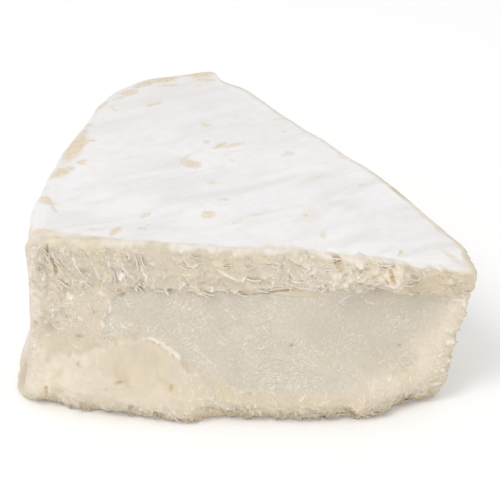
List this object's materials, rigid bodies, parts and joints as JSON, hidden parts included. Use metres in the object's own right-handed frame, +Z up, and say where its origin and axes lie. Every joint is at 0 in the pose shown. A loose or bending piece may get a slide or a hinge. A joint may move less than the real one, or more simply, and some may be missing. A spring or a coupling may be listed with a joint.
{
  "type": "triple cream cheese wedge",
  "caption": "Wedge of soft-ripened triple cream cheese with a white bloomy rind on top and round the outside, and cut faces that show a chalky core and a soft ripened edge.",
  "frame": {"origin": "middle of the footprint's bounding box, on the flat underside the wedge rests on", "axes": "+X along the long cut face towards the tip, +Y from that face towards the rind's far corner, +Z up"},
  "size_m": [0.115, 0.1076, 0.048],
  "materials": {
    "cheese": "soft matte, white bloomy rind over cream-coloured paste"
  },
  "bodies": {
    "root": {"cheese_wedge": "cheese"}
  },
  "joints": []
}
